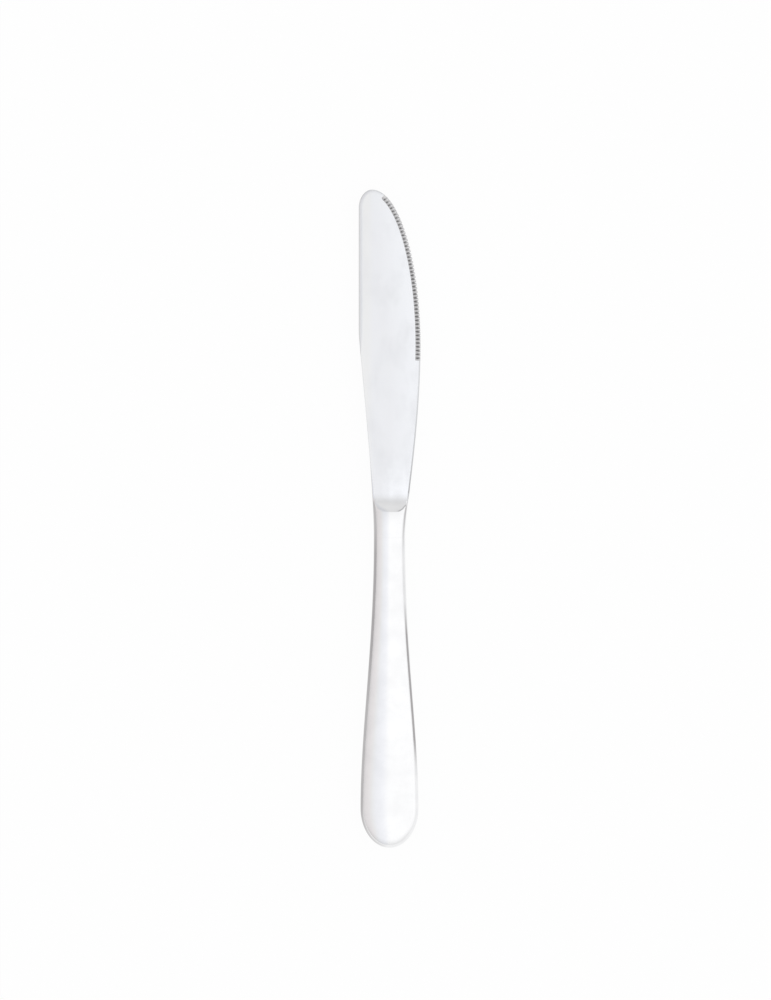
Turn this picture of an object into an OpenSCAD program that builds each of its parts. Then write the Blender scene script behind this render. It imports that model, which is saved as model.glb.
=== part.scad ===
// Dessert knife with a hollow handle, as it comes apart on a bench: a forged blade with its bolster and
// tang, two pressed handle shells brazed together on the knife's middle plane, and the cement core that
// fills the handle and holds the tang.
// The knife lies flat. X runs across the blade from spine to edge, Y from the butt to the tip, Z is up.
// The origin is under the middle of the knife, on the surface that it lies on. All sizes are millimetres.

/* [Lengths] */
// Handle, from the butt to the joint with the bolster
handle_length = 98; // [85:0.5:115]
// Bolster, from the joint to the crest of the shoulder
bolster_length = 8.5; // [5:0.5:12]
// Shoulder, from its crest to the flat of the blade
shoulder_length = 5.5; // [4:0.5:9]
// Flat of the blade, from the shoulder to the tip
blade_length = 96; // [85:0.5:110]

/* [Blade outline] */
// Reach of the spine from the handle's axis
spine_reach = 9.7; // [7.5:0.1:11]
// Reach of the edge from the handle's axis
edge_reach = 9.8; // [8.5:0.1:12]
// From the joint to where the spine runs straight
spine_sweep = 65; // [50:1:80]
// From the joint to the widest point of the edge
edge_sweep = 61; // [50:1:75]
// How far the spine's curve holds the handle's direction
spine_ease_joint = 19; // [10:1:35]
// How far it holds the straight spine's direction
spine_ease_blade = 4; // [2:1:14]
// How far the edge's curve holds the handle's direction
edge_ease_joint = 9; // [4:1:16]
// How far it holds the direction of the widest point
edge_ease_blade = 27; // [12:1:32]
// Length of the rounded corner between the spine and the tip
nose_length = 5.8; // [2:0.1:8]
// Width of that corner, from the spine to the tip's furthest point
nose_width = 4.2; // [2:0.1:7]

/* [Blade thickness] */
// Spine at the shoulder
spine_heel_t = 2.4; // [1.8:0.1:3]
// Spine at the tip
spine_tip_t = 1.3; // [1:0.1:1.8]
// Edge at its widest point, before the teeth are ground
edge_t = 0.5; // [0.4:0.05:0.8]

/* [Teeth] */
// Distance from tooth to tooth along the edge
tooth_pitch = 1.2; // [1:0.1:2]
// Length of the toothed stretch, along the edge
toothed_length = 53; // [20:1:56]
// How far the toothed stretch starts behind the widest point
toothed_setback = 5; // [0:0.5:12]
// Radius of the round grooves between the teeth
groove_r = 0.45; // [0.3:0.05:0.48]
// Depth of a groove at the edge, from the face that it is ground in
groove_depth = 0.55; // [0.3:0.05:0.7]
// Length of a groove, from the edge to where it runs out on the face
groove_length = 1.6; // [1:0.1:2.2]

/* [Tang] */
// Length of the tang behind the bolster
tang_length = 42; // [25:1:60]
// Width at the bolster
tang_w = 6; // [4:0.1:6.6]
// Width at the end
tang_end_w = 4; // [3:0.1:5]
// Thickness
tang_t = 3; // [2:0.1:3.6]
// Radius of the notches that key the tang into the cement
notch_r = 0.8; // [0.4:0.1:1]
// Notches on each side
notch_count = 3; // [1:1:4]
// Distance from notch to notch
notch_pitch = 10; // [5:0.5:10]

/* [Handle] */
// Width at the widest point, near the butt
handle_w = 18.3; // [14:0.1:22]
// Width at the joint with the bolster
neck_w = 9.9; // [8.6:0.1:12]
// Thickness near the butt
handle_t = 8.4; // [7.6:0.1:11]
// Thickness at the crest of the shoulder
neck_t = 7.8; // [7:0.1:8.4]
// Share of the width that is flat on the handle's broad sides
flat_share = 0.25; // [0.1:0.05:0.5]
// Length of the rounded butt, seen from above
butt_length = 12.5; // [8:0.5:20]
// Length of the rounded butt, seen from the side
butt_drop = 7; // [4:0.5:8]
// How far the handle's side holds its direction from the butt
belly_ease = 25; // [10:1:36]
// How far it holds its direction from the joint
neck_ease = 35; // [10:1:40]

/* [Construction] */
// Wall of the pressed handle shells
shell_wall = 0.7; // [0.5:0.05:1]
// Thickness of the brazed seam between the shells
seam_t = 0.1; // [0.06:0.02:0.2]
// Clearance of the cement core to the shells and the tang
cement_fit = 0.05; // [0.02:0.01:0.1]

/* [Hidden] */

// Stations along the knife, from the butt
joint_y = handle_length;
crest_y = joint_y + bolster_length;
heel_y = crest_y + shoulder_length;
tip_y = heel_y + blade_length;
widest_y = joint_y + edge_sweep;

// The curves of the outline meet this far beyond the tip, so that the tip ends in a very small flat
tip_blunting = 0.01;
apex_y = tip_y + tip_blunting;

// Fineness of the outlines and of the rounded sections
curve_steps = 28;
butt_steps = 10;
bolster_steps = 4;
shoulder_steps = 8;
heel_steps = 14;
tip_steps = 28;
quarter_points = 10;
ring_points = 4 * quarter_points;

// Larger than the knife, for cutting planes
beyond = 2 * tip_y;

steel = "gainsboro";
braze = "darkkhaki";
cement = "dimgray";

// Curves

function smooth(t) = let (c = min(1, max(0, t))) c * c * (3 - 2 * c);

function bezier(a, b, c, d, t) =
    pow(1 - t, 3) * a + 3 * t * pow(1 - t, 2) * b + 3 * t * t * (1 - t) * c + pow(t, 3) * d;

// A fair curve between two points that starts and ends along Y and holds that direction for the given eases
function sweep(from, to, ease_from, ease_to) =
    [for (i = [0:curve_steps])
        bezier(from, from + [0, ease_from], to - [0, ease_to], to, i / curve_steps)];

function x_at(y, path) = lookup(y, [for (p = path) [p.y, p.x]]);

// Half the thickness of the handle and the bolster, which taper evenly from the butt to the crest
function half_t_at(y) =
    let (fullness = min(1, max(0, (crest_y - y) / (crest_y - butt_length))))
    (neck_t + (handle_t - neck_t) * fullness) / 2;

// Blade outline: the spine side and the edge side, each from the joint to the tip

spine_curve = sweep([-neck_w / 2, joint_y], [-spine_reach, joint_y + spine_sweep],
    spine_ease_joint, spine_ease_blade);
edge_curve = sweep([neck_w / 2, joint_y], [edge_reach, widest_y], edge_ease_joint, edge_ease_blade);
tip_x = nose_width - spine_reach;
nose_curve = [for (i = [0:butt_steps])
    let (a = 90 * i / butt_steps)
    [tip_x - nose_width * cos(a), apex_y - nose_length * (1 - sin(a))]];
tip_curve = [for (i = [1:2 * curve_steps])
    let (a = 90 * i / (2 * curve_steps))
    [tip_x + (edge_reach - tip_x) * cos(a), widest_y + (apex_y - widest_y) * sin(a)]];
spine_side = concat(spine_curve, nose_curve);
edge_side = concat(edge_curve, tip_curve);

function reversed(list) = [for (i = [len(list) - 1:-1:0]) list[i]];

// Blade faces: the upper one is a plane through three points of known thickness, the lower its mirror image

face_points = [
    [x_at(heel_y, spine_curve), heel_y, spine_heel_t / 2],
    [-spine_reach, tip_y, spine_tip_t / 2],
    [edge_reach, widest_y, edge_t / 2]];
face_normal = cross(face_points[1] - face_points[0], face_points[2] - face_points[0]);
face_slope = [-face_normal.x / face_normal.z, -face_normal.y / face_normal.z];
face_height = face_points[0].z - face_slope * [face_points[0].x, face_points[0].y];
face_turn_y = -atan(face_slope.x);
face_turn_x = atan(face_slope.y * cos(face_turn_y));

function blade_half_t(x, y) = face_height + face_slope * [x, y];

// The shoulder is an arc that leaves the face at the heel and has risen to the bolster's top at the crest
shoulder_rise = neck_t / 2 - blade_half_t(0, heel_y);
shoulder_r = (pow(shoulder_length, 2) + pow(shoulder_rise, 2)) / (2 * shoulder_rise);
shoulder_sweep = 75;
shoulder_profile = [for (i = [0:2 * shoulder_steps])
    let (a = shoulder_sweep * i / (2 * shoulder_steps))
    [heel_y - shoulder_r * sin(a), shoulder_r * (1 - cos(a))]];

// Everything that is ground away above the blade's upper face
module above_face() {
    back = shoulder_profile[2 * shoulder_steps];
    translate([0, 0, face_height])
        rotate([face_turn_x, face_turn_y, 0])
            rotate([90, 0, 90])
                linear_extrude(height = beyond, center = true)
                    polygon(concat([[beyond, 0]], shoulder_profile, [[back.x, beyond], [beyond, beyond]]));
}

// Teeth: grooves at even steps along the edge, ground in the upper face and running out inwards

edge_path = [for (p = edge_side) if (p.y > widest_y - toothed_setback) p];

function run_lengths(path, i = 0, done = 0) =
    i == len(path) - 1 ? [done]
    : concat([done], run_lengths(path, i + 1, done + norm(path[i + 1] - path[i])));

edge_runs = run_lengths(edge_path);

function edge_at(run) = [
    lookup(run, [for (i = [0:len(edge_path) - 1]) [edge_runs[i], edge_path[i].x]]),
    lookup(run, [for (i = [0:len(edge_path) - 1]) [edge_runs[i], edge_path[i].y]])];

module groove(run) {
    place = edge_at(run);
    along = edge_at(run + tooth_pitch / 2) - edge_at(run - tooth_pitch / 2);
    rise = atan(groove_depth / groove_length);
    bottom = blade_half_t(place.x, place.y) - groove_depth;
    translate([place.x, place.y, bottom])
        rotate([0, 0, atan2(along.y, along.x) + 90])
            rotate([0, 90 - rise, 0])
                translate([-groove_r, 0, -groove_length])
                    cylinder(r = groove_r, h = 3.5 * groove_length, $fn = 48);
}

module teeth_grooves() {
    count = floor((toothed_length - tooth_pitch) / tooth_pitch);
    for (i = [1:count])
        groove(i * tooth_pitch);
}

// Lofts through rings of points, each ring counterclockwise as seen from the butt

// Ring points are numbered from the edge over the top to the spine, and back underneath
function quarter_of(i) =
    let (k = i % (2 * quarter_points))
    min(k, 2 * quarter_points - 1 - k);

function quarter_angle(i) = 90 * (quarter_of(i) + 0.5) / (quarter_points - 0.5);

// Place across a ring, from -1 at the spine to 1 at the edge
function ring_x(i) =
    let (side = i < quarter_points || i >= 3 * quarter_points ? 1 : -1)
    side * (flat_share + (1 - flat_share) * cos(quarter_angle(i)) / cos(quarter_angle(0)));

// Height of an oval ring that is at least as thick as the seam
function ring_z(half_t, i) =
    let (side = i < 2 * quarter_points ? 1 : -1)
    side * (seam_t / 2 + (half_t - seam_t / 2) * sin(quarter_angle(i)));

function triangles(a, b, c, d) =
    [for (f = [[a, b, c], [a, c, d]]) if (f[0] != f[1] && f[1] != f[2] && f[0] != f[2]) f];

// Closed solid through whole rings, which starts at a point or, without one, at a flat end
module loft(rings, point = undef) {
    n = len(rings[0]);
    first = is_undef(point) ? 0 : 1;
    points = concat(first == 1 ? [point] : [], [for (r = rings) each r]);
    function at(k, i) = first + k * n + i % n;
    sides = [for (k = [0:len(rings) - 2], i = [0:n - 1])
        each triangles(at(k, i), at(k, i + 1), at(k + 1, i + 1), at(k + 1, i))];
    start = first == 1 ? [for (i = [0:n - 1]) [0, at(0, i + 1), at(0, i)]]
        : [for (i = [0:n / 2 - 2])
            each triangles(at(0, n - 1 - i), at(0, n - 2 - i), at(0, i + 1), at(0, i))];
    last = len(rings) - 1;
    end = [for (i = [0:n / 2 - 2])
        each triangles(at(last, i), at(last, i + 1), at(last, n - 2 - i), at(last, n - 1 - i))];
    polyhedron(points, concat(start, sides, end));
}

// Blade

// The bar that the blade is ground from: oval at the bolster, then upright and thicker than the blade
function bar_ring(y) =
    let (left = x_at(y, spine_side), right = x_at(y, edge_side))
    let (squareness = smooth((y - crest_y) / shoulder_length))
    [for (i = [0:ring_points - 1])
        let (oval = ring_z(half_t_at(y), i), square = sign(oval) * spine_heel_t)
        [(left + right) / 2 + ring_x(i) * (right - left) / 2, y, oval + squareness * (square - oval)]];

module bar() {
    stations = concat(
        [for (i = [0:bolster_steps - 1]) joint_y + bolster_length * i / bolster_steps],
        [for (i = [0:shoulder_steps - 1]) crest_y + shoulder_length * i / shoulder_steps],
        [for (i = [0:heel_steps - 1]) heel_y + (widest_y - heel_y) * i / heel_steps],
        [for (i = [0:tip_steps]) widest_y + (tip_y - widest_y) * sin(90 * i / tip_steps)]);
    loft([for (y = stations) bar_ring(y)]);
}

// Tang, grown all round by the given clearance when it is cut out of the cement
module tang(grow = 0) {
    half = [tang_w / 2 + grow, tang_end_w / 2 + grow];
    back = joint_y - tang_length - grow;
    root = joint_y + bolster_length / 2;
    difference() {
        linear_extrude(height = tang_t + 2 * grow, center = true)
            polygon([[-half[0], root], [-half[0], joint_y], [-half[1], back],
                [half[1], back], [half[0], joint_y], [half[0], root]]);
        for (side = [-1, 1], i = [1:notch_count]) {
            y = joint_y - notch_pitch * i;
            x = side * (tang_end_w + (tang_w - tang_end_w) * (1 - notch_pitch * i / tang_length)) / 2;
            translate([x, y, 0])
                cylinder(r = notch_r - grow, h = 2 * tang_t, center = true, $fn = 48);
        }
    }
}

module blade() {
    color(steel)
        union() {
            difference() {
                bar();
                above_face();
                mirror([0, 0, 1])
                    above_face();
                teeth_grooves();
            }
            tang();
        }
}

// Handle

// Stations of the handle's surface, set in by the given distance: place along Y and half the width there
function handle_plan(inset) = concat(
    [for (i = [1:butt_steps])
        let (a = 90 * i / butt_steps)
        [inset + (butt_length - inset) * (1 - cos(a)), (handle_w / 2 - inset) * sin(a)]],
    [for (i = [1:curve_steps])
        let (p = bezier([handle_w / 2, butt_length], [handle_w / 2, butt_length + belly_ease],
            [neck_w / 2, joint_y - neck_ease], [neck_w / 2, joint_y], i / curve_steps))
        [p.y, p.x - inset]]);

function handle_half_t(y, inset) =
    let (drop = min(1, (y - inset) / (butt_drop - inset)))
    (half_t_at(y) - inset) * sqrt(drop * (2 - drop));

// Upper half of a handle section, from rim to rim
function half_ring(station, inset) =
    let (y = station[0], half_w = station[1], half_t = handle_half_t(y, inset))
    concat(
        [[half_w, y, seam_t / 2]],
        [for (i = [0:2 * quarter_points - 1]) [half_w * ring_x(i), y, ring_z(half_t, i)]],
        [[-half_w, y, seam_t / 2]]);

// One sheet of points runs from the butt out to the mouth and back inside, and the rim closes its sides
module half_shell() {
    outer = [for (s = handle_plan(0)) half_ring(s, 0)];
    inner = [for (s = handle_plan(shell_wall)) half_ring(s, shell_wall)];
    rows = concat(outer, reversed(inner));
    n = len(rows[0]);
    last = len(rows) + 1;
    points = concat([[0, 0, seam_t / 2]], [for (r = rows) each r], [[0, shell_wall, seam_t / 2]]);
    function at(r, i) = r == 0 ? 0 : r == last ? len(points) - 1 : 1 + (r - 1) * n + i;
    sheet = [for (r = [0:last - 1], i = [0:n - 2])
        each triangles(at(r, i), at(r, i + 1), at(r + 1, i + 1), at(r + 1, i))];
    rim = [for (r = [0:len(outer) - 1])
        each concat(
            triangles(at(r, 0), at(r + 1, 0), at(last - r - 1, 0), at(last - r, 0)),
            triangles(at(r + 1, n - 1), at(r, n - 1), at(last - r, n - 1), at(last - r - 1, n - 1)))];
    polyhedron(points, concat(sheet, rim));
}

module handle_shell_upper() {
    color(steel)
        half_shell();
}

module handle_shell_lower() {
    color(steel)
        mirror([0, 0, 1])
            half_shell();
}

// Half of a handle outline, from the butt's end point to the mouth
function outline_side(inset, side) =
    concat([[0, inset]], [for (s = handle_plan(inset)) [side * s[1], s[0]]]);

module seam_braze() {
    function without_first(list) = [for (i = [1:len(list) - 1]) list[i]];
    color(braze)
        linear_extrude(height = seam_t, center = true)
            polygon(concat(
                reversed(outline_side(0, 1)),
                without_first(outline_side(0, -1)),
                reversed(outline_side(shell_wall, -1)),
                without_first(outline_side(shell_wall, 1))));
}

module cement_core() {
    inset = shell_wall + cement_fit;
    rings = [for (s = handle_plan(inset))
        let (y = min(s[0], joint_y - cement_fit), half_t = handle_half_t(y, inset))
        [for (i = [0:ring_points - 1]) [s[1] * ring_x(i), y, ring_z(half_t, i)]]];
    color(cement)
        difference() {
            loft(rings, point = [0, inset, 0]);
            tang(grow = cement_fit);
        }
}

// Stands the middle of the knife over the origin, with its lowest point on the surface
module in_place() {
    translate([(spine_reach - edge_reach) / 2, -tip_y / 2, handle_t / 2])
        children();
}

in_place() blade();
in_place() handle_shell_upper();
in_place() handle_shell_lower();
in_place() seam_braze();
in_place() cement_core();
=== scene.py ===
import bisect
import math
import bmesh
import bpy
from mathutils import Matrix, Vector
from mathutils.kdtree import KDTree


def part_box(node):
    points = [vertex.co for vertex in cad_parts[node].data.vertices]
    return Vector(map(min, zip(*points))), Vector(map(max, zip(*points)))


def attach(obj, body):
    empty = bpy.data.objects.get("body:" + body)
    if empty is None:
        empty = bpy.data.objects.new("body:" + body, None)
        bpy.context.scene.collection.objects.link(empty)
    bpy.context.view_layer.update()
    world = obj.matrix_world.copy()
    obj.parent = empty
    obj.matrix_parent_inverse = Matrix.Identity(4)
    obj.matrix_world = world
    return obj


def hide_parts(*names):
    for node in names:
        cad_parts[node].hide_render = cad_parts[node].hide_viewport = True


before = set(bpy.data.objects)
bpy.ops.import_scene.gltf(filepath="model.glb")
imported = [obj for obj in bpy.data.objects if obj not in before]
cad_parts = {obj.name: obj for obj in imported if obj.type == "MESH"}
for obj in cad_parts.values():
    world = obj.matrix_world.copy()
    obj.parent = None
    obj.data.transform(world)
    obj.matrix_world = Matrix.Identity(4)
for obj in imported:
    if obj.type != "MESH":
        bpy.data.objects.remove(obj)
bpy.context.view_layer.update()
mm = 0.001

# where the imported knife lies: its handle axis, its butt and the plane of its seam
shellLow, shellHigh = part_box("handle_shell_upper")
bladeLow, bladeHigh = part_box("blade")
seamLow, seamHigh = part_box("seam_braze")
axisX = (shellLow.x + shellHigh.x) / 2
buttY = shellLow.y
midZ = (seamLow.z + seamHigh.z) / 2
jointY = (shellHigh.y - buttY) / mm
tipY = (bladeHigh.y - buttY) / mm
print("frame loaded, joint at %.1f mm and tip at %.1f mm from the butt" % (jointY, tipY))


def place(x, y, z):  # millimetres: across from the handle axis, along from the butt, up from the seam
    return Vector((axisX + x * mm, buttY + y * mm, midZ + z * mm))


def lerp(a, b, t):
    return a + (b - a) * t


def smooth(t):
    t = min(1.0, max(0.0, t))
    return t * t * (3 - 2 * t)


def bezier(a, b, c, d, t):
    u = 1 - t
    return u * u * u * a + 3 * t * u * u * b + 3 * t * t * u * c + t * t * t * d


def softMin(a, b, width):
    if width <= 0:
        return min(a, b)
    near = max(width - abs(a - b), 0) / width
    return min(a, b) - near * near * width / 4


# shader and geometry nodes

class Wire:  # a socket that can stand in a sum
    def __init__(self, tree, socket):
        self.tree = tree
        self.socket = socket

    def math(self, kind, other, turned=False):
        pair = (other, self) if turned else (self, other)
        return addNode(self.tree, "ShaderNodeMath", {"operation": kind}, {0: pair[0], 1: pair[1]})

    def __add__(self, other):
        return self.math("ADD", other)

    def __radd__(self, other):
        return self.math("ADD", other, True)

    def __sub__(self, other):
        return self.math("SUBTRACT", other)

    def __rsub__(self, other):
        return self.math("SUBTRACT", other, True)

    def __mul__(self, other):
        return self.math("MULTIPLY", other)

    def __rmul__(self, other):
        return self.math("MULTIPLY", other, True)

    def __truediv__(self, other):
        return self.math("DIVIDE", other)

    def __rtruediv__(self, other):
        return self.math("DIVIDE", other, True)

    def clamped(self):
        return addNode(self.tree, "ShaderNodeClamp", {}, {"Value": self})


def addNode(tree, kind, settings, sockets, out=0):
    node = tree.nodes.new(kind)
    for name, value in settings.items():
        if name == "stops":
            stops = node.color_ramp.elements
            stops.remove(stops[1])
            for i, (at, grey) in enumerate(value):
                stop = stops.new(at) if i else stops[0]
                stop.position = at
                stop.color = (grey, grey, grey, 1)
        else:
            setattr(node, name, value)
    for key, value in sockets.items():
        if isinstance(value, Wire):
            tree.links.new(value.socket, node.inputs[key])
        else:
            node.inputs[key].default_value = value
    return Wire(tree, node.outputs[out]) if node.outputs else None


def mixColour(tree, factor, first, second):  # the Mix node's colours are its inputs 6, 7 and output 2
    return addNode(tree, "ShaderNodeMix", {"data_type": "RGBA"}, {0: factor, 6: first, 7: second}, 2)


def noise(tree, point, scale, detail, stretch=(1, 1, 1), roughness=0.55):
    turned = addNode(tree, "ShaderNodeMapping", {}, {"Vector": point, "Scale": stretch})
    return addNode(tree, "ShaderNodeTexNoise", {},
                   {"Vector": turned, "Scale": scale, "Detail": detail, "Roughness": roughness}, "Fac")


def ramp(tree, value, stops):
    return addNode(tree, "ShaderNodeValToRGB", {"stops": stops}, {"Fac": value})


def part(tree, point, axis):  # one coordinate of a point
    return addNode(tree, "ShaderNodeSeparateXYZ", {}, {"Vector": point}, axis)


def bumpFrom(tree, height, distance, strength):
    return addNode(tree, "ShaderNodeBump", {},
                   {"Height": height, "Distance": distance, "Strength": strength})


def newMaterial(name):
    material = bpy.data.materials.new(name)
    material.use_nodes = True
    tree = material.node_tree
    tree.nodes.clear()
    point = addNode(tree, "ShaderNodeTexCoord", {}, {}, "Object")
    return material, tree, point


def finishMaterial(tree, sockets):
    shader = addNode(tree, "ShaderNodeBsdfPrincipled", {}, sockets)
    addNode(tree, "ShaderNodeOutputMaterial", {}, {"Surface": shader})


# polished steel of the handle and the bolster, with smudges and fine hairlines

polishLook = {
    "clean": (0.897, 0.898, 0.904, 1), "smudged": (0.838, 0.84, 0.849, 1),
    "smudges": (130, 4), "smudgeGain": 2.8, "smudgeLess": 1.0,  # a noise: scale, detail and stretch
    "hairlines": (1, 3, (5200, 90, 5200)), "hairLess": 0.62, "hairGain": 6,
    "rough": 0.06, "smudgeRough": 0.05, "hairRough": 0.05,
    "ripples": (160, 2), "hairRipple": 0.04, "rippleTall": 0.000004,
}


def polishColour(tree, point):
    look = polishLook
    smudge = noise(tree, point, *look["smudges"])
    share = (smudge * look["smudgeGain"] - look["smudgeLess"]).clamped()
    return smudge, mixColour(tree, share, look["clean"], look["smudged"])


def polishedSteel():
    look = polishLook
    material, tree, point = newMaterial("polishedHandleSteel")
    smudge, colour = polishColour(tree, point)
    hairlines = noise(tree, point, *look["hairlines"])
    scratched = ((hairlines - look["hairLess"]) * look["hairGain"]).clamped()
    rough = look["rough"] + look["smudgeRough"] * smudge + look["hairRough"] * scratched
    ripple = noise(tree, point, *look["ripples"]) + look["hairRipple"] * hairlines
    normal = bumpFrom(tree, ripple, look["rippleTall"], 1.0)
    finishMaterial(tree, {"Base Color": colour, "Metallic": 1.0, "Roughness": rough, "Normal": normal})
    return material


# satin steel of the blade, with painted light: lighter and cooler towards its edge and the tip, warmer at
# its back, brightest at the heel's corner; places and lengths in metres

satinLook = {
    "edge": (0.815, 0.828, 0.856, 1), "middle": (0.768, 0.775, 0.799, 1),
    "back": (0.772, 0.775, 0.781, 1), "heel": (0.857, 0.87, 0.899, 1),
    "stain": (0.70, 0.707, 0.73, 1), "forged": (0.36, 0.35, 0.34, 1),
    "edgeFade": 0.008, "backFrom": -0.005, "backFade": 0.002,
    "tipFrom": 0.05, "tipShift": 0.12,
    "heelFrom": 0.03, "heelFade": 0.016, "heelPaintedLift": 0.2,
    "cornerFrom": 0.0198, "cornerFade": 0.005,  # a painted highlight at the heel's corner, along and across
    "cornerSide": -0.0026, "cornerWide": 0.003,
    "startsBefore": 0.0035, "startFade": 0.003,  # the polish of the shoulder turns into satin
    "jointFade": 0.0002,  # and behind the joint into forged skin
    "stains": (150, 4, (1, 0.6, 1)), "stainLess": 0.46, "stainGain": 3.5, "stainMost": 0.6,
    "rough": 0.17, "stainRough": 0.05, "grindRough": 0.05, "forgedRough": 0.5,
    "grind": (1, 2, (70, 4200, 70)), "waves": (140, 2), "grindWave": 0.12, "waveTall": 0.000006,
}


def bladeSteel(heelRow, jointRow):
    look = satinLook
    material, tree, point = newMaterial("satinBladeSteel")
    along = part(tree, point, "Y")
    across = part(tree, point, "X")
    onBlade = ((along - (heelRow - look["startsBefore"])) / look["startFade"]).clamped()
    onTang = ((jointRow - along) / look["jointFade"]).clamped()
    grind = noise(tree, point, *look["grind"])
    smudge = noise(tree, point, *look["stains"])
    stain = ((smudge - look["stainLess"]) * look["stainGain"]).clamped() * look["stainMost"]
    # painted light: the face runs from the middle's tone to the lighter edge tone, which reaches further
    # in near the tip and the heel
    pastTip = (along - look["tipFrom"]).math("MAXIMUM", 0.0)
    paintedLightNearHeel = ((look["heelFrom"] - along) / look["heelFade"]).clamped() * look["heelPaintedLift"]
    paintedLightToEdge = ((across + pastTip * look["tipShift"]) / look["edgeFade"] + paintedLightNearHeel).clamped()
    paintedToneToBack = ((look["backFrom"] - across) / look["backFade"]).clamped()
    face = mixColour(tree, paintedLightToEdge, look["middle"], look["edge"])
    # painted highlight at the heel's corner
    paintedHighlightAtHeel = ((look["cornerFrom"] - along) / look["cornerFade"]).clamped()
    paintedHighlightAtHeel = paintedHighlightAtHeel * ((across - look["cornerSide"]) / look["cornerWide"]).clamped()
    face = mixColour(tree, paintedHighlightAtHeel, face, look["heel"])
    clean = mixColour(tree, paintedToneToBack, face, look["back"])
    satin = mixColour(tree, stain, clean, look["stain"])
    bolster = polishColour(tree, point)[1]
    bright = mixColour(tree, onBlade, bolster, satin)
    colour = mixColour(tree, onTang, bright, look["forged"])
    rough = polishLook["rough"] + onBlade * (look["rough"] - polishLook["rough"])
    rough = rough + look["stainRough"] * smudge + onBlade * grind * look["grindRough"]
    rough = rough + onTang * look["forgedRough"]
    waves = onBlade * grind * look["grindWave"] + noise(tree, point, *look["waves"])
    normal = bumpFrom(tree, waves, look["waveTall"], 1.0)
    finishMaterial(tree, {"Base Color": colour, "Metallic": 1.0, "Roughness": rough, "Normal": normal})
    return material


# ground steel of the edge, the tooth land and the tooth grooves, with painted shade in the land and the
# grooves

groundLook = {
    "grain": (2600, 3), "grainTall": 0.00001, "grainBump": 0.6, "grainRough": 0.1,
    "edge": (0.70, 0.705, 0.72, 1), "edgeDark": 0.86, "edgeRough": 0.26,
    "landOuter": (0.68, 0.675, 0.68, 1), "landShaded": (0.46, 0.455, 0.46, 1), "landStart": 0.3,
    "toothOuter": (0.56, 0.555, 0.56, 1), "toothShaded": (0.17, 0.168, 0.17, 1), "toothStart": 0.25,
    "toothRough": 0.3, "shadeFade": 0.35, "shadeGrain": 0.3,
    "tipFrom": 0.058, "tipFade": 0.03, "tipStart": 0.2,  # near the tip the painted shade starts further in
}


def groundMaterial(name):
    material, tree, point = newMaterial(name)
    grain = noise(tree, point, *groundLook["grain"])
    normal = bumpFrom(tree, grain, groundLook["grainTall"], groundLook["grainBump"])
    return material, tree, point, grain, normal


def edgeSteel():
    look = groundLook
    material, tree, point, grain, normal = groundMaterial("groundEdgeSteel")
    dark = tuple(c * look["edgeDark"] for c in look["edge"][:3]) + (1,)
    colour = mixColour(tree, grain, dark, look["edge"])
    rough = look["edgeRough"] + look["grainRough"] * grain
    finishMaterial(tree, {"Base Color": colour, "Metallic": 1.0, "Roughness": rough, "Normal": normal})
    return material


def shadedToothSteel(name, kind):  # painted shade: darker towards the face than at the edge, for the shade in the grooves and on the land
    look = groundLook
    material, tree, point, grain, normal = groundMaterial(name)
    inset = addNode(tree, "ShaderNodeAttribute", {"attribute_name": "edgeInset"}, {}, "Fac")
    toTip = ((part(tree, point, "Y") - look["tipFrom"]) / look["tipFade"]).clamped()
    depth = inset + look["shadeGrain"] * grain - look[kind + "Start"] - look["tipStart"] * toTip
    # painted shade: 0 gives the outer colour, 1 the shaded inner colour
    inner = (depth / look["shadeFade"]).clamped()
    colour = mixColour(tree, inner, look[kind + "Outer"], look[kind + "Shaded"])
    rough = look["toothRough"] + look["grainRough"] * grain
    finishMaterial(tree, {"Base Color": colour, "Metallic": 1.0, "Roughness": rough, "Normal": normal})
    return material


# seam and filling of the handle

brazeLook = {
    "dark": (0.66, 0.63, 0.55, 1), "pale": (0.76, 0.74, 0.68, 1),
    "grain": (900, 3), "grainTall": 0.00001, "grainBump": 0.5, "rough": 0.2, "grainRough": 0.15,
}
cementLook = {
    "dark": (0.24, 0.23, 0.215, 1), "pale": (0.44, 0.425, 0.40, 1),
    "sand": (1400, 5), "sandTall": 0.0001, "sandBump": 0.8,
    "patches": (110, 3), "rough": 0.8, "patchRough": 0.15,
}


def brazeMetal():
    look = brazeLook
    material, tree, point = newMaterial("brazedSeam")
    grain = noise(tree, point, *look["grain"])
    colour = mixColour(tree, grain, look["dark"], look["pale"])
    rough = look["rough"] + look["grainRough"] * grain
    normal = bumpFrom(tree, grain, look["grainTall"], look["grainBump"])
    finishMaterial(tree, {"Base Color": colour, "Metallic": 1.0, "Roughness": rough, "Normal": normal})
    return material


def handleCement():
    look = cementLook
    material, tree, point = newMaterial("handleCement")
    sand = noise(tree, point, *look["sand"])
    patch = noise(tree, point, *look["patches"])
    colour = mixColour(tree, sand, look["dark"], look["pale"])
    rough = look["rough"] + look["patchRough"] * patch
    normal = bumpFrom(tree, sand, look["sandTall"], look["sandBump"])
    finishMaterial(tree, {"Base Color": colour, "Roughness": rough, "Normal": normal})
    return material


# outlines and sections that the pieces share, in millimetres

knifeForm = {
    "bolster": 8.5, "shoulder": 5.5,  # lengths along the knife
    "neckWide": 9.9, "neckThick": 7.8,
    "handleWide": 18.3, "handleThick": 8.4,
    "buttLong": 12.5, "buttDrop": 7.0,  # the rounded end, from above and from the side
    "bellyEase": 25.0, "neckEase": 35.0,
    "sectionPower": 2.4,  # 2 is an ellipse, more is fuller
    "seam": 0.1,
    "jointChamfer": 0.03,
}
crestY = jointY + knifeForm["bolster"]
heelY = crestY + knifeForm["shoulder"]


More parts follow.
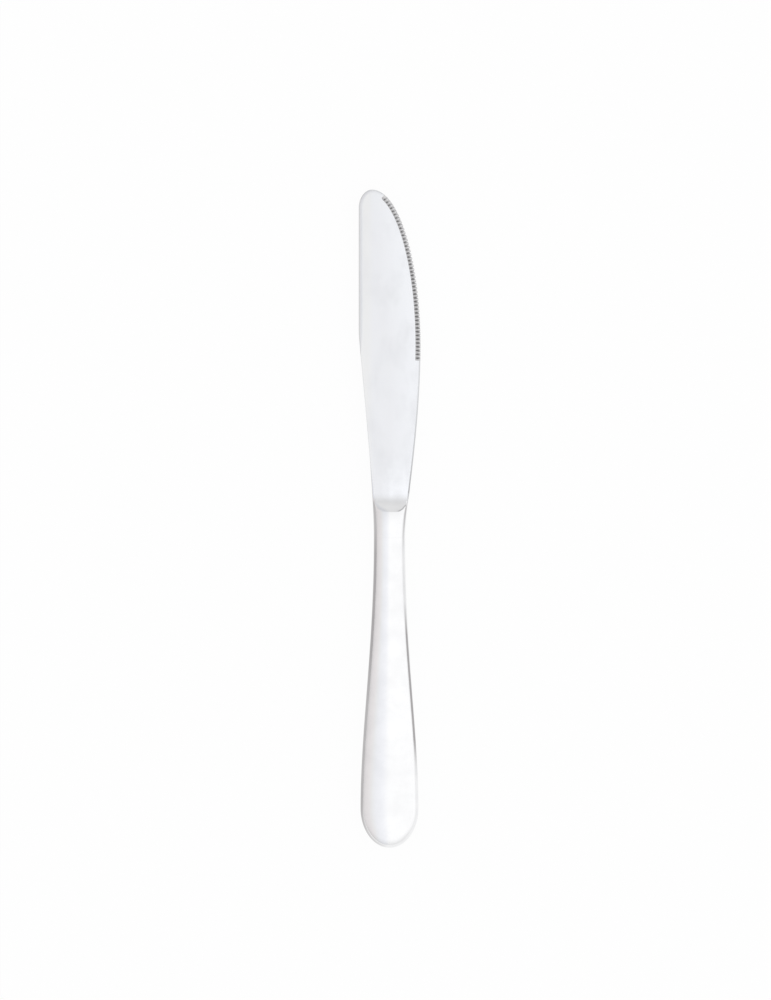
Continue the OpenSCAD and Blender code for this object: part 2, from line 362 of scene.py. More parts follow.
def halfThick(y):  # handle and bolster taper evenly from the butt to the crest
    fullness = min(1.0, max(0.0, (crestY - y) / (crestY - knifeForm["buttLong"])))
    return lerp(knifeForm["neckThick"], knifeForm["handleThick"], fullness) / 2


def ovalPoint(halfWide, halfTall, angle):
    power = 2 / knifeForm["sectionPower"]
    c, s = math.cos(angle), math.sin(angle)
    return halfWide * math.copysign(abs(c) ** power, c), halfTall * math.copysign(abs(s) ** power, s)


def makePiece(name, points, faces):
    mesh = bpy.data.meshes.new(name)
    mesh.from_pydata([place(*p) for p in points], [], faces)
    mesh.validate()
    shape = bmesh.new()
    shape.from_mesh(mesh)
    bmesh.ops.recalc_face_normals(shape, faces=shape.faces)
    shape.to_mesh(mesh)
    shape.free()
    piece = bpy.data.objects.new(name, mesh)
    bpy.context.scene.collection.objects.link(piece)
    return piece


def shadeSmooth(piece, degrees):
    shape = bmesh.new()
    shape.from_mesh(piece.data)
    limit = math.radians(degrees)
    openEdges = 0
    for edge in shape.edges:
        if len(edge.link_faces) != 2:
            openEdges += 1
            continue
        twoLooks = edge.link_faces[0].material_index != edge.link_faces[1].material_index
        edge.smooth = not (twoLooks or edge.calc_face_angle(0) > limit)
    for face in shape.faces:
        face.smooth = True
    shape.to_mesh(piece.data)
    shape.free()
    print("%s: %d faces, %d open edges" % (piece.name, len(piece.data.polygons), openEdges))


def bakeModifiers(piece):
    graph = bpy.context.evaluated_depsgraph_get()
    mesh = bpy.data.meshes.new_from_object(piece.evaluated_get(graph), depsgraph=graph)
    piece.modifiers.clear()
    old = piece.data
    piece.data = mesh
    bpy.data.meshes.remove(old)
    mesh.name = piece.name


# blade, bolster and tang

bladeForm = {
    "spineReach": 9.7, "edgeReach": 9.8,  # across from the handle axis
    "spineSweep": 65.0, "edgeSweep": 61.0,  # where the two curves that start at the joint end
    "spineEase": (19.0, 4.0), "edgeEase": (9.0, 27.0),  # how far they run straight at both ends
    "noseLong": 5.8, "noseWide": 4.2,  # the small corner between the spine and the tip
    "spineHeelThick": 2.4, "spineTipThick": 1.3, "edgeThick": 0.5,
    # the soft border of the spine and the tip: its width at places along the knife, its tilt, its corner
    "crown": [(112.0, 0.55), (122.0, 0.08), (154.5, 0.08), (163.5, 1.2)],
    "crownTilt": 16.0, "cornerRound": 0.14, "cornerMost": 0.8,
    # the ground bevel of the edge, half of the blunt land that it leaves, the length over which it grows
    "bevelWide": 0.45, "edgeLand": 0.08, "landMost": 0.6, "bevelGrows": 1.5,
    "crestSoft": 1.0, "rollLong": 3.4, "rollDrop": 0.3,  # the rounded crest of the shoulder
    "cutReach": 0.966, "uncut": 10.0,  # share of the shoulder's radius that is ground, a height above all
    "hold": 0.05,  # narrow rows that keep the faces flat
    "faceAngle": 28.5, "sideAngle": 27.0,  # degrees, where the top and the side of the oval meet
    "sweepSteps": 200, "sideSteps": 10, "crownSteps": 4,  # side points run from the face to the middle
    "topRows": 40, "bolsterRings": 16,
    "shoulderRings": 64, "closeBefore": 1.5,  # the rings lie closer from here to the blade
    "spineRows": 60, "backRows": 12, "noseRows": 36, "tipRows": 160, "landRows": 12, "edgeRows": 60,
    "smoothUnder": 30,  # degrees between faces
}
tangForm = {
    "long": 42.0, "wide": 6.0, "endWide": 4.0, "thick": 3.0,
    "notch": 0.8, "notches": 3, "notchPitch": 10.0, "notchSteps": 8,
}
widestY = jointY + bladeForm["edgeSweep"]
straightY = jointY + bladeForm["spineSweep"]
tipX = bladeForm["noseWide"] - bladeForm["spineReach"]
sideSteps = bladeForm["sideSteps"]
satinSlot, edgeSlot, landSlot = 0, 1, 2  # the blade's materials in their order


def sweepPath(start, end, eases):
    path = []
    for i in range(bladeForm["sweepSteps"] + 1):
        t = i / bladeForm["sweepSteps"]
        x = bezier(start[0], start[0], end[0], end[0], t)
        y = bezier(start[1], start[1] + eases[0], end[1] - eases[1], end[1], t)
        path.append((x, y))
    return path


def acrossAt(path, y):
    ys = [p[1] for p in path]
    i = min(max(bisect.bisect_left(ys, y), 1), len(path) - 1)
    (x0, y0), (x1, y1) = path[i - 1], path[i]
    return lerp(x0, x1, min(1.0, max(0.0, (y - y0) / (y1 - y0))))


neckHalf = knifeForm["neckWide"] / 2
spinePath = sweepPath((-neckHalf, jointY), (-bladeForm["spineReach"], straightY), bladeForm["spineEase"])
edgePath = sweepPath((neckHalf, jointY), (bladeForm["edgeReach"], widestY), bladeForm["edgeEase"])


def tipPoint(angle):  # the round front of the edge, from its widest point to the tip
    reach = bladeForm["edgeReach"] - tipX
    return tipX + reach * math.cos(angle), widestY + (tipY - widestY) * math.sin(angle)


def nosePoint(angle):  # the small corner between the spine and the tip
    return (tipX - bladeForm["noseWide"] * math.cos(angle),
            tipY - bladeForm["noseLong"] * (1 - math.sin(angle)))


facePoints = [
    Vector((acrossAt(spinePath, heelY), heelY, bladeForm["spineHeelThick"] / 2)),
    Vector((-bladeForm["spineReach"], tipY, bladeForm["spineTipThick"] / 2)),
    Vector((bladeForm["edgeReach"], widestY, bladeForm["edgeThick"] / 2)),
]
faceNormal = (facePoints[1] - facePoints[0]).cross(facePoints[2] - facePoints[0])


def faceHalf(x, y):  # half the blade's thickness under its flat face
    across, along = x - facePoints[0].x, y - facePoints[0].y
    return facePoints[0].z - (faceNormal.x * across + faceNormal.y * along) / faceNormal.z


shoulderRise = knifeForm["neckThick"] / 2 - faceHalf(0, heelY)
shoulderRadius = (knifeForm["shoulder"] ** 2 + shoulderRise ** 2) / (2 * shoulderRise)


def shoulderTop(x, y):
    back = max(0.0, heelY - y)
    if back > bladeForm["cutReach"] * shoulderRadius:  # behind the crest nothing is ground away
        return bladeForm["uncut"]
    return faceHalf(x, y) + shoulderRadius - math.sqrt(shoulderRadius ** 2 - back ** 2)


def sideProfile(halfTall, wide, bevelled):
    tilt = math.radians(bladeForm["crownTilt"])
    corner = min(bladeForm["cornerRound"], wide * bladeForm["cornerMost"])
    cornerIn = corner * (1 - math.sin(tilt))
    crownDrop = math.tan(tilt) * (wide - cornerIn) / 2
    cornerUp = halfTall - crownDrop - corner * math.cos(tilt)
    land = min(bladeForm["edgeLand"], halfTall * bladeForm["landMost"])
    rows = []
    for k in range(sideSteps - 1):
        t = k / bladeForm["crownSteps"]
        roundIn, roundUp = lerp(wide, cornerIn, t), halfTall - crownDrop * t * t
        if t > 1:
            turn = lerp(tilt, math.pi / 2, t - 1)
            roundIn, roundUp = corner * (1 - math.sin(turn)), cornerUp + corner * math.cos(turn)
        t = k / (sideSteps - 2)
        flatIn, flatUp = wide * (1 - t), lerp(halfTall, land, t)
        rows.append((lerp(roundIn, flatIn, bevelled), lerp(roundUp, flatUp, bevelled)))
    return rows + [(0.0, 0.0)]


def crownWide(y):
    stops = bladeForm["crown"]
    for (y0, wide0), (y1, wide1) in zip(stops, stops[1:]):
        if y < y1:
            return lerp(wide0, wide1, smooth((y - y0) / (y1 - y0)))
    return stops[-1][1]


def halfColumn(x, y, inward, wide, bevelled):  # points from the face to the middle of a side
    hold = wide + bladeForm["hold"]
    held = (x + inward[0] * hold, y + inward[1] * hold)
    seat = (x + inward[0] * wide, y + inward[1] * wide)
    points = [(held[0], held[1], faceHalf(*held))]
    for inset, up in sideProfile(faceHalf(*seat), wide, bevelled):
        points.append((x + inward[0] * inset, y + inward[1] * inset, up))
    return points


def sideColumn(x, y, inward, wide, lowWide, bevelled):  # points from the upper face to the lower
    upper = halfColumn(x, y, inward, wide, bevelled)
    lower = halfColumn(x, y, inward, lowWide, bevelled)
    return upper + [(px, py, -pz) for px, py, pz in reversed(lower[:-1])]


topCount = bladeForm["topRows"]
topSpan = 180.0 - 2 * bladeForm["faceAngle"]
sideAngles = [math.radians(bladeForm["faceAngle"])]
sideAngles += [math.radians(bladeForm["sideAngle"] * (1 - k / (sideSteps - 1))) for k in range(sideSteps)]
topAngles = [math.radians(bladeForm["faceAngle"] + topSpan * (i + 1) / (topCount + 1))
             for i in range(topCount)]


def bladeRing(y, shrink):  # a section of the bolster or shoulder, from the edge over the spine and back
    left, right = acrossAt(spinePath, y) + shrink, acrossAt(edgePath, y) - shrink
    roll = min(1.0, max(0.0, (y - crestY) / bladeForm["rollLong"] + 1))
    halfTall = halfThick(y) - shrink - bladeForm["rollDrop"] * roll * roll
    middle, halfWide = (left + right) / 2, (right - left) / 2
    square = smooth((y - crestY) / (heelY - crestY))
    soft = bladeForm["crestSoft"] * (1 - square)
    edgeSide = halfColumn(right, y, (-1, 0), bladeForm["bevelWide"], 1.0)
    spineSide = halfColumn(left, y, (1, 0), crownWide(y), 0.0)
    upper = []

    def add(angle, flatX, flatZ):
        ovalX, ovalZ = ovalPoint(halfWide, halfTall, angle)
        x = lerp(middle + ovalX, flatX, square)
        z = softMin(lerp(ovalZ, flatZ, square), shoulderTop(x, y), soft)
        upper.append((x, y, z))

    for angle, (px, py, pz) in zip(reversed(sideAngles), reversed(edgeSide)):
        add(angle, px, pz)
    for angle in topAngles:
        share = 0.5 - 0.5 * math.cos(angle) / math.cos(sideAngles[0])
        add(angle, lerp(edgeSide[0][0], spineSide[0][0], share), bladeForm["spineHeelThick"])
    for angle, (px, py, pz) in zip(sideAngles, spineSide):
        add(math.pi - angle, px, pz)
    lower = [(px, py, -pz) for px, py, pz in reversed(upper[1:-1])]
    return upper + lower


# teeth: round grooves at even steps along the front of the edge, in a wider ground land of the upper face

toothForm = {
    "pitch": 1.2, "count": 45, "setback": 5.45,  # the row starts this far behind the widest point
    "radius": 0.45, "depth": 0.4, "length": 1.4,
    "landWide": 1.6, "landEnds": (0.45, 0.5),  # how far the land reaches past the row of grooves
    "heelSteps": 60, "tipSteps": 600,  # points of the line that the grooves follow
    "rodSides": 24, "rodLong": 3.5, "rodShift": 0.75,  # the cutting rod, in groove lengths
}


def toothEdge():  # the edge from where the teeth start to the tip
    steps, tipSteps = toothForm["heelSteps"], toothForm["tipSteps"]
    ys = [lerp(widestY - toothForm["setback"], widestY, i / steps) for i in range(steps)]
    front = [tipPoint(math.pi / 2 * i / tipSteps) for i in range(tipSteps + 1)]
    return [(acrossAt(edgePath, y), y) for y in ys] + front


def bladeOutline(startY):  # from the spine's heel round the tip to the edge's heel
    form, land = bladeForm, toothForm["landWide"]
    rows = []  # place, width of the upper and the lower border, how bevelled, look
    for i in range(form["spineRows"]):
        y = lerp(startY, straightY, i / form["spineRows"])
        rows.append((acrossAt(spinePath, y), y, crownWide(y), crownWide(y), 0.0, satinSlot))
    noseY = tipY - form["noseLong"]
    crown = crownWide(tipY)
    for i in range(form["backRows"]):
        y = lerp(straightY, noseY, i / form["backRows"])
        rows.append((-form["spineReach"], y, crown, crown, 0.0, satinSlot))
    for i in range(form["noseRows"]):
        spot = nosePoint(i / form["noseRows"] * math.pi / 2)
        rows.append((*spot, crown, crown, 0.0, satinSlot))
    edge = toothEdge()
    lastRun = toothForm["pitch"] * toothForm["count"] + toothForm["landEnds"][1]
    run = sum(math.dist(a, b) for a, b in zip(edge, edge[1:]))
    last = edge[-1]
    for i in range(form["tipRows"]):
        spot = tipPoint((1 - i / form["tipRows"]) * math.pi / 2)
        run -= math.dist(last, spot)
        last = spot
        bevelled = smooth((lastRun - run) / form["bevelGrows"] + 1)
        wide, lowWide = lerp(crown, land, bevelled), lerp(crown, form["bevelWide"], bevelled)
        rows.append((*spot, wide, lowWide, bevelled, landSlot if bevelled > 0.5 else satinSlot))
    landY = widestY - toothForm["setback"] + toothForm["landEnds"][0]
    for i in range(form["landRows"] + 1):
        y = lerp(widestY, landY, i / form["landRows"])
        rows.append((acrossAt(edgePath, y), y, land, form["bevelWide"], 1.0, landSlot))
    for i in range(form["edgeRows"] + 1):
        y = lerp(landY - form["hold"], startY, i / form["edgeRows"])
        rows.append((acrossAt(edgePath, y), y, form["bevelWide"], form["bevelWide"], 1.0, edgeSlot))
    return rows


def buildBlade():
    points, faces, looks = [], [], []
    chamfer = knifeForm["jointChamfer"]
    startY = heelY + bladeForm["hold"]
    closeY = crestY - bladeForm["closeBefore"]
    stations = [(jointY, chamfer), (jointY + chamfer, 0.0)]
    rings = bladeForm["bolsterRings"]
    stations += [(lerp(jointY + chamfer, closeY, (i + 1) / rings), 0.0) for i in range(rings)]
    rings = bladeForm["shoulderRings"]
    stations += [(lerp(closeY, heelY, (i + 1) / rings), 0.0) for i in range(rings)]
    stations.append((startY, 0.0))
    for y, shrink in stations:
        points.extend(bladeRing(y, shrink))
    size = len(points) // len(stations)
    for k in range(len(stations) - 1):
        for i in range(size):
            a, b = k * size + i, k * size + (i + 1) % size
            faces.append((a, b, b + size, a + size))
            looks.append(satinSlot)
    faces.append(tuple(range(size)))  # the end that meets the handle
    looks.append(satinSlot)

    # the flat part: columns of points over its side, from the spine's heel round the tip to the edge's
    base = (len(stations) - 1) * size
    deep = 2 * sideSteps
    spineColumn = [base + sideSteps + 1 + topCount + i for i in range(deep + 1)]
    edgeColumn = [base + sideSteps - i for i in range(sideSteps + 1)]
    edgeColumn += [base + size - 1 - i for i in range(sideSteps)]
    rows = bladeOutline(startY)
    columns = [spineColumn]
    for before, (x, y, wide, lowWide, bevelled, look), after in zip(rows, rows[1:], rows[2:]):
        dx, dy = after[0] - before[0], after[1] - before[1]
        length = math.hypot(dx, dy)
        first = len(points)
        points.extend(sideColumn(x, y, (dy / length, -dx / length), wide, lowWide, bevelled))
        columns.append(list(range(first, first + deep + 1)))
    columns.append(edgeColumn)
    for j in range(len(columns) - 1):
        look = rows[j][5]
        upper, lower = [look] * (sideSteps - 2), [min(look, edgeSlot)] * (sideSteps - 2)
        sideLooks = [satinSlot] + upper + [satinSlot, satinSlot] + lower + [satinSlot]
        for i in range(deep):
            faces.append((columns[j][i], columns[j][i + 1], columns[j + 1][i + 1], columns[j + 1][i]))
            looks.append(sideLooks[i])
    heelSpan = range(sideSteps, sideSteps + topCount + 2)
    topHeel = [base + i for i in heelSpan]
    lowHeel = [base + (size - i) % size for i in heelSpan]
    faces.append(tuple(topHeel + [c[0] for c in columns[1:-1]]))
    faces.append(tuple(lowHeel + [c[deep] for c in columns[1:-1]]))
    looks += [satinSlot, satinSlot]
    piece = makePiece("blade_forging", points, faces)
    for face, look in zip(piece.data.polygons, looks):
        face.material_index = look
    return piece


def buildTang():
    form = tangForm
    root = jointY + knifeForm["bolster"] / 2
    back = jointY - form["long"]
    side = [(form["wide"] / 2, root), (form["wide"] / 2, jointY)]
    for i in range(1, form["notches"] + 1):
        away = form["notchPitch"] * i
        x = lerp(form["wide"], form["endWide"], away / form["long"]) / 2
        for k in range(form["notchSteps"] + 1):
            turn = math.pi / 2 + math.pi * k / form["notchSteps"]
            dx, dy = form["notch"] * math.cos(turn), form["notch"] * math.sin(turn)
            side.append((x + dx, jointY - away + dy))
    side.append((form["endWide"] / 2, back))
    ring = side + [(-x, y) for x, y in reversed(side)]
    n = len(ring)
    points = [(x, y, z) for z in (-form["thick"] / 2, form["thick"] / 2) for x, y in ring]
    faces = [(i, (i + 1) % n, n + (i + 1) % n, n + i) for i in range(n)]
    faces += [tuple(range(n)), tuple(range(n, 2 * n))]
    return makePiece("tangBlank", points, faces)


def toothLine():  # the bottoms of the grooves at the edge
    fine = toothEdge()
    run, line = 0.0, []
    first, last = toothForm["pitch"], toothForm["pitch"] * toothForm["count"]
    for a, b in zip(fine, fine[1:]):
        step = math.dist(a, b)
        for mark in (first, last):  # exact ends
            if run < mark <= run + step:
                t = (mark - run) / step
                line.append((lerp(a[0], b[0], t), lerp(a[1], b[1], t)))
        run += step
        if first < run < last:
            line.append(b)
    return [(x, y, faceHalf(x, y) - toothForm["depth"]) for x, y in line]


def toothTree():
    tree = bpy.data.node_groups.new("toothGrooves", "GeometryNodeTree")
    inputs = {
        "Edge line": "NodeSocketGeometry", "Pitch": "NodeSocketFloat",
        "Groove radius": "NodeSocketFloat", "Groove length": "NodeSocketFloat",
        "Groove depth": "NodeSocketFloat", "Groove steel": "NodeSocketMaterial",
    }
    for name, kind in inputs.items():
        tree.interface.new_socket(name, in_out="INPUT", socket_type=kind)
    tree.interface.new_socket("Grooves", in_out="OUTPUT", socket_type="NodeSocketGeometry")
    line, pitch, radius, length, depth, steel = [
        addNode(tree, "NodeGroupInput", {}, {}, name) for name in inputs]
    curve = addNode(tree, "GeometryNodeMeshToCurve", {}, {"Mesh": line})
    stops = addNode(tree, "GeometryNodeResampleCurve", {"mode": "LENGTH"},
                    {"Curve": curve, "Length": pitch})
    tangent = addNode(tree, "GeometryNodeInputTangent", {}, {})
    turn = addNode(tree, "FunctionNodeAlignRotationToVector", {"axis": "X", "pivot_axis": "Z"},
                   {"Vector": tangent})
    rise = depth.math("ARCTAN2", length)
    riseSin = addNode(tree, "ShaderNodeMath", {"operation": "SINE"}, {0: rise})
    riseCos = addNode(tree, "ShaderNodeMath", {"operation": "COSINE"}, {0: rise})
    rod = addNode(tree, "GeometryNodeMeshCylinder", {}, {
        "Vertices": toothForm["rodSides"], "Radius": radius,
        "Depth": length * toothForm["rodLong"]}, "Mesh")
    shift = addNode(tree, "ShaderNodeCombineXYZ", {}, {
        "Y": length * toothForm["rodShift"] * riseCos - radius * riseSin,
        "Z": length * toothForm["rodShift"] * riseSin + radius * riseCos})
    lean = addNode(tree, "ShaderNodeCombineXYZ", {}, {"X": rise - math.pi / 2})
    cutter = addNode(tree, "GeometryNodeTransform", {},
                     {"Geometry": rod, "Translation": shift, "Rotation": lean})
    placed = addNode(tree, "GeometryNodeInstanceOnPoints", {},
                     {"Points": stops, "Instance": cutter, "Rotation": turn})
    real = addNode(tree, "GeometryNodeRealizeInstances", {}, {"Geometry": placed})
    done = addNode(tree, "GeometryNodeSetMaterial", {}, {"Geometry": real, "Material": steel})
    addNode(tree, "NodeGroupOutput", {}, {"Grooves": done})
    return tree


def buildToothCutters(steel):
    line = toothLine()
    mesh = bpy.data.meshes.new("toothLine")
    mesh.from_pydata([place(*p) for p in line], [(i, i + 1) for i in range(len(line) - 1)], [])
    cutters = bpy.data.objects.new("toothCutters", mesh)
    bpy.context.scene.collection.objects.link(cutters)
    modifier = cutters.modifiers.new("toothGrooves", "NODES")
    modifier.node_group = toothTree()
    values = {
        "Pitch": toothForm["pitch"] * mm, "Groove radius": toothForm["radius"] * mm,
        "Groove length": toothForm["length"] * mm, "Groove depth": toothForm["depth"] * mm,
        "Groove steel": steel,
    }
    for item in modifier.node_group.interface.items_tree:
        if item.name in values:
            modifier[item.identifier] = values[item.name]
    bakeModifiers(cutters)
    print("tooth cutters: %d faces" % len(cutters.data.polygons))
    return cutters


def markInset(piece, steels):  # for the teeth's painted shade: 0 at the edge, 1 at the land's inner side
    edge = toothEdge()
    near = KDTree(len(edge))
    for i, (x, y) in enumerate(edge):
        near.insert(place(x, y, 0), i)
    near.balance()
    mesh = piece.data
    looks = [mesh.materials.find(steel.name) for steel in steels]
    inset = mesh.attributes.new("edgeInset", "FLOAT", "POINT")
    for face in mesh.polygons:
        if face.material_index not in looks:
            continue
        for i in face.vertices:
            spot = mesh.vertices[i].co
            away = near.find((spot.x, spot.y, midZ))[2]
            inset.data[i].value = min(1.0, away / (toothForm["landWide"] * mm))


blade = buildBlade()
landSteel = shadedToothSteel("groundLandSteel", "land")
grooveSteel = shadedToothSteel("groundToothSteel", "tooth")
for steel in (bladeSteel(place(0, heelY, 0).y, place(0, jointY, 0).y), edgeSteel(), landSteel):
    blade.data.materials.append(steel)
tangBlank = buildTang()
tangBlank.data.materials.append(blade.data.materials[satinSlot])
toothCutters = buildToothCutters(grooveSteel)
for tool, kind in ((tangBlank, "UNION"), (toothCutters, "DIFFERENCE")):
    cut = blade.modifiers.new(tool.name, "BOOLEAN")
    cut.operation = kind
    cut.solver = "EXACT"
    cut.material_mode = "TRANSFER"
    cut.object = tool
bakeModifiers(blade)
for tool in (tangBlank, toothCutters):
    bpy.data.objects.remove(tool)
markInset(blade, (landSteel, grooveSteel))
shadeSmooth(blade, bladeForm["smoothUnder"])
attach(blade, "root")
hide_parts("blade")


# handle shells: one sheet runs from the butt out to the mouth and back inside, and the rim closes it

shellForm = {"wall": 0.7, "buttRows": 36, "bodyRows": 90, "halfPoints": 72, "smoothUnder": 35}


def handlePlan(inset):  # place and half width of each row
    form = knifeForm
    widest, mouth = form["handleWide"] / 2, form["neckWide"] / 2
    rows = []
    for i in range(1, shellForm["buttRows"] + 1):
        a = math.pi / 2 * i / shellForm["buttRows"]
        y = inset + (form["buttLong"] - inset) * (1 - math.cos(a))
        rows.append((y, (widest - inset) * math.sin(a)))
    for i in range(1, shellForm["bodyRows"] + 1):
        t = i / shellForm["bodyRows"]
        y = bezier(form["buttLong"], form["buttLong"] + form["bellyEase"],
                   jointY - form["neckEase"], jointY, t)
        rows.append((y, bezier(widest, widest, mouth, mouth, t) - inset))
    return rows


def shellRow(y, halfWide, inset, shrink=0.0):
    drop = min(1.0, (y - inset) / (knifeForm["buttDrop"] - inset))
    halfTall = (halfThick(y) - inset) * math.sqrt(drop * (2 - drop)) - shrink
    rim = knifeForm["seam"] / 2
    row = []
    for i in range(shellForm["halfPoints"] + 1):
        x, z = ovalPoint(halfWide - shrink, halfTall - rim, math.pi * i / shellForm["halfPoints"])
        row.append((x, y, rim + max(0.0, z)))
    return row


def buildShell(name, side):
    chamfer, wall = knifeForm["jointChamfer"], shellForm["wall"]
    mouthWide = knifeForm["neckWide"] / 2
    outer = [shellRow(y, w, 0.0) for y, w in handlePlan(0.0)[:-1]]
    outer.append(shellRow(jointY - chamfer, mouthWide, 0.0))
    outer.append(shellRow(jointY, mouthWide, 0.0, chamfer))
    inner = [shellRow(y, w, wall) for y, w in handlePlan(wall)]
    inner.insert(-1, shellRow(jointY - chamfer, mouthWide - wall, wall))
    rows = outer + inner[::-1]
    n = len(rows[0])
    rim = knifeForm["seam"] / 2
    points = [(0, 0, rim)] + [p for row in rows for p in row] + [(0, wall, rim)]
    last = len(rows) + 1

    def at(r, i):
        return 0 if r == 0 else len(points) - 1 if r == last else 1 + (r - 1) * n + i

    faces = []
    for r in range(last):
        for i in range(n - 1):
            faces.append((at(r, i), at(r, i + 1), at(r + 1, i + 1), at(r + 1, i)))
    for r in range(len(outer)):
        for i in (0, n - 1):
            faces.append((at(r, i), at(r + 1, i), at(last - r - 1, i), at(last - r, i)))
    faces = [tuple(dict.fromkeys(f)) for f in faces]
    piece = makePiece(name, [(x, y, z * side) for x, y, z in points], faces)
    shadeSmooth(piece, shellForm["smoothUnder"])
    return piece


handleSteel = polishedSteel()
for name, node, side in (("handle_shell_top", "handle_shell_upper", 1),
                         ("handle_shell_base", "handle_shell_lower", -1)):
    shell = buildShell(name, side)
    shell.data.materials.append(handleSteel)
    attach(shell, "root")
    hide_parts(node)

for node, material in (("seam_braze", brazeMetal()), ("cement_core", handleCement())):
    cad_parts[node].material_slots[0].material = material
print("pieces made")


# studio: a pale floor, a bright tent that is greyer on the spine's side, two grey cards that paint the
# knife's shadow on the floor into the reflections

studio = {
    "tent": 1.13,  # strength overhead, and below it the share that is left towards the sides
    "spineSide": [(0.0, 1.0), (0.045, 0.957), (0.1, 0.92), (0.2, 0.886), (0.33, 0.858), (0.47, 0.825),
                  (0.6, 0.785), (0.75, 0.745), (0.9, 0.71), (1.0, 0.66)],
    "tipSide": [(0.0, 1.0), (0.3, 0.92), (0.6, 0.77), (0.75, 0.72), (0.95, 0.735), (1.0, 0.80)],
    # the tent's walls are dimmer low down, most of all behind the butt
    "horizon": [(0.0, 0.86), (0.1, 0.93), (0.25, 1.0)],
    "buttSide": [(0.25, 0.0), (0.65, 0.13)], "lowDown": [(0.25, 1.0), (0.6, 0.0)],
    # on the spine's side it is a little bluer high up and redder low down
    "cool": (0.9925, 1.0, 1.031, 1),
    "coolSide": [(0.0, 0.0), (0.05, 0.5), (0.12, 1.0), (0.35, 1.0), (0.55, 0.0)],
    "warm": (1.034, 1.0, 1.0, 1), "warmSide": [(0.5, 0.0), (0.7, 1.0), (1.0, 1.0)],
    "shade": (0.5, 0.6, 0.62), "shadeSize": 0.35, "shadeDepth": 0.5,  # a dim patch of the tent
    "white": (1, 1, 1, 1),
    "floor": (0.9, 0.9, 0.9, 1), "floorDark": 0.985, "floorGrain": (30, 3), "floorWhite": 0.95,
    "floorHalf": 3, "floorUp": -0.00002,
    # colour and height of the painted shadow cards
    "flag": (1.0, 0.965, 0.968, 1), "flagUp": 0.0002,
    "sensor": 36, "cameraUp": 1.0, "frameTall": 0.31611, "aim": (-0.00133, 0.00592),
}
# painted shadow beside the spine and the handle, where the knife's shadow falls on the floor
spineShadowFlag = {
    "low": (-0.25, -0.2), "high": (0.0, 0.13), "grey": 0.46,
    "across": [(0.0, 1.0), (0.96, 1.0), (0.995, 0.0)],
    "along": [(0.0, 0.0), (0.15, 0.09), (0.24, 0.31), (0.29, 0.55), (0.315, 0.8), (0.33, 0.88),
              (0.365, 0.82), (0.42, 0.84), (0.455, 0.9), (0.485, 1.0), (0.57, 1.0), (0.6, 0.8),
              (0.65, 0.88), (1.0, 0.88)],
}
# painted shadow: the narrow dark contact shadow beside the handle on the edge's side
edgeShadowFlag = {
    "low": (0.0105, -0.09), "high": (0.12, 0.02), "grey": 0.46,
    "across": [(0.0, 0.0), (0.018, 1.0), (1.0, 1.0)],
    "along": [(0.0, 0.0), (0.05, 0.0), (0.1, 0.15), (0.18, 1.0), (0.49, 1.0), (0.58, 0.15), (0.727, 0.12),
              (0.79, 0.6), (0.845, 0.75), (0.909, 0.35), (1.0, 0.0)],
}


def makeWorld():
    world = bpy.data.worlds.new("studioTent")
    bpy.context.scene.world = world
    world.use_nodes = True
    tree = world.node_tree
    tree.nodes.clear()
    look = addNode(tree, "ShaderNodeTexCoord", {}, {}, "Generated")
    x, y, z = [part(tree, look, axis) for axis in "XYZ"]
    tent = studio["tent"] * ramp(tree, 0 - x, studio["spineSide"])
    tent = tent * ramp(tree, y, studio["tipSide"]) * ramp(tree, z, studio["horizon"])
    tent = tent * (1 - ramp(tree, 0 - y, studio["buttSide"]) * ramp(tree, z, studio["lowDown"]))
    away = addNode(tree, "ShaderNodeVectorMath", {"operation": "DISTANCE"},
                   {0: look, 1: studio["shade"]}, "Value")
    near = (1 - away / studio["shadeSize"]).clamped()
    tent = tent * (1 - studio["shadeDepth"] * near * near * (3 - 2 * near))
    seen = addNode(tree, "ShaderNodeLightPath", {}, {}, "Is Camera Ray")
    hue = mixColour(tree, ramp(tree, 0 - x, studio["coolSide"]), studio["white"], studio["cool"])
    hue = mixColour(tree, ramp(tree, 0 - x, studio["warmSide"]), hue, studio["warm"])
    hue = mixColour(tree, seen, hue, studio["white"])
    strength = seen + (1 - seen) * tent
    shine = addNode(tree, "ShaderNodeBackground", {}, {"Color": hue, "Strength": strength})
    addNode(tree, "ShaderNodeOutputWorld", {}, {"Surface": shine})


def makeCard(name, low, high, up):
    corners = [(low[0], low[1], up), (high[0], low[1], up), (high[0], high[1], up), (low[0], high[1], up)]
    mesh = bpy.data.meshes.new(name)
    mesh.from_pydata(corners, [], [(0, 1, 2, 3)])
    card = bpy.data.objects.new(name, mesh)
    bpy.context.scene.collection.objects.link(card)
    return card


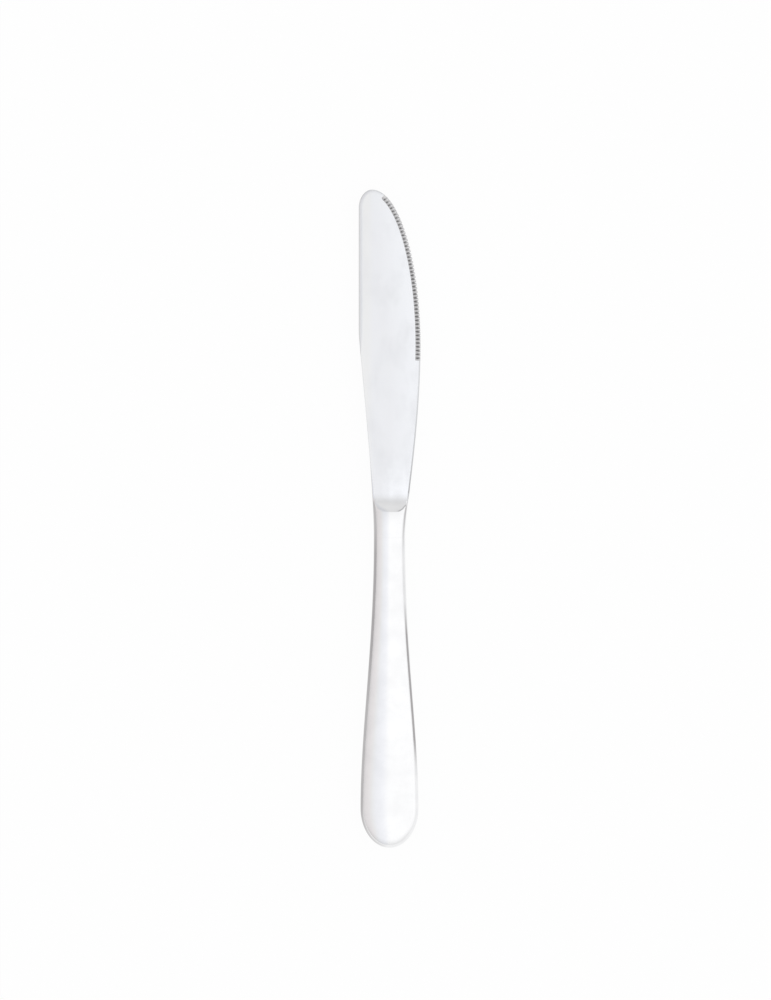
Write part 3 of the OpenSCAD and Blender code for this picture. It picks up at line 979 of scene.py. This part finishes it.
def makeFloor():
    half = studio["floorHalf"]
    floor = makeCard("floor", (-half, -half), (half, half), studio["floorUp"])
    material, tree, point = newMaterial("paleFloor")
    grain = noise(tree, point, *studio["floorGrain"])
    dark = tuple(c * studio["floorDark"] for c in studio["floor"][:3]) + (1,)
    colour = mixColour(tree, grain, dark, studio["floor"])
    paint = addNode(tree, "ShaderNodeBsdfPrincipled", {},
                    {"Base Color": colour, "Roughness": 1.0, "Specular IOR Level": 0.0})
    white = addNode(tree, "ShaderNodeEmission", {}, {"Color": studio["white"], "Strength": 1.0})
    rays = [addNode(tree, "ShaderNodeLightPath", {}, {}, kind)
            for kind in ("Is Camera Ray", "Is Glossy Ray", "Is Transmission Ray")]
    lift = (rays[0] + rays[1] + rays[2]).clamped() * studio["floorWhite"]
    shader = addNode(tree, "ShaderNodeMixShader", {}, {0: lift, 1: paint, 2: white})
    addNode(tree, "ShaderNodeOutputMaterial", {}, {"Surface": shader})
    floor.data.materials.append(material)


def makeShadowFlag(name, form):  # a soft-edged grey card that only reflections see, a painted shadow of the knife on the floor
    low, high = form["low"], form["high"]
    flag = makeCard(name, low, high, studio["flagUp"])
    material, tree, point = newMaterial(name + "ShadowPaint")
    across = (part(tree, point, "X") - low[0]) / (high[0] - low[0])
    along = (part(tree, point, "Y") - low[1]) / (high[1] - low[1])
    cover = ramp(tree, across, form["across"]) * ramp(tree, along, form["along"])
    shadowPaint = addNode(tree, "ShaderNodeEmission", {}, {"Color": studio["flag"], "Strength": form["grey"]})
    clear = addNode(tree, "ShaderNodeBsdfTransparent", {}, {})
    shader = addNode(tree, "ShaderNodeMixShader", {}, {0: cover, 1: clear, 2: shadowPaint})
    addNode(tree, "ShaderNodeOutputMaterial", {}, {"Surface": shader})
    flag.data.materials.append(material)
    flag.visible_camera = False
    flag.visible_diffuse = False
    flag.visible_shadow = False
    flag.visible_transmission = False


def makeCamera():
    lens = bpy.data.cameras.new("topCamera")
    lens.sensor_width = studio["sensor"]
    lens.lens = studio["sensor"] * studio["cameraUp"] / studio["frameTall"]
    camera = bpy.data.objects.new("topCamera", lens)
    camera.location = (*studio["aim"], midZ + studio["cameraUp"])
    bpy.context.scene.collection.objects.link(camera)
    bpy.context.scene.camera = camera


makeWorld()
makeFloor()
makeShadowFlag("spineShadowFlag", spineShadowFlag)
makeShadowFlag("edgeShadowFlag", edgeShadowFlag)
makeCamera()
bpy.context.scene.view_settings.view_transform = "Standard"
print("studio made")
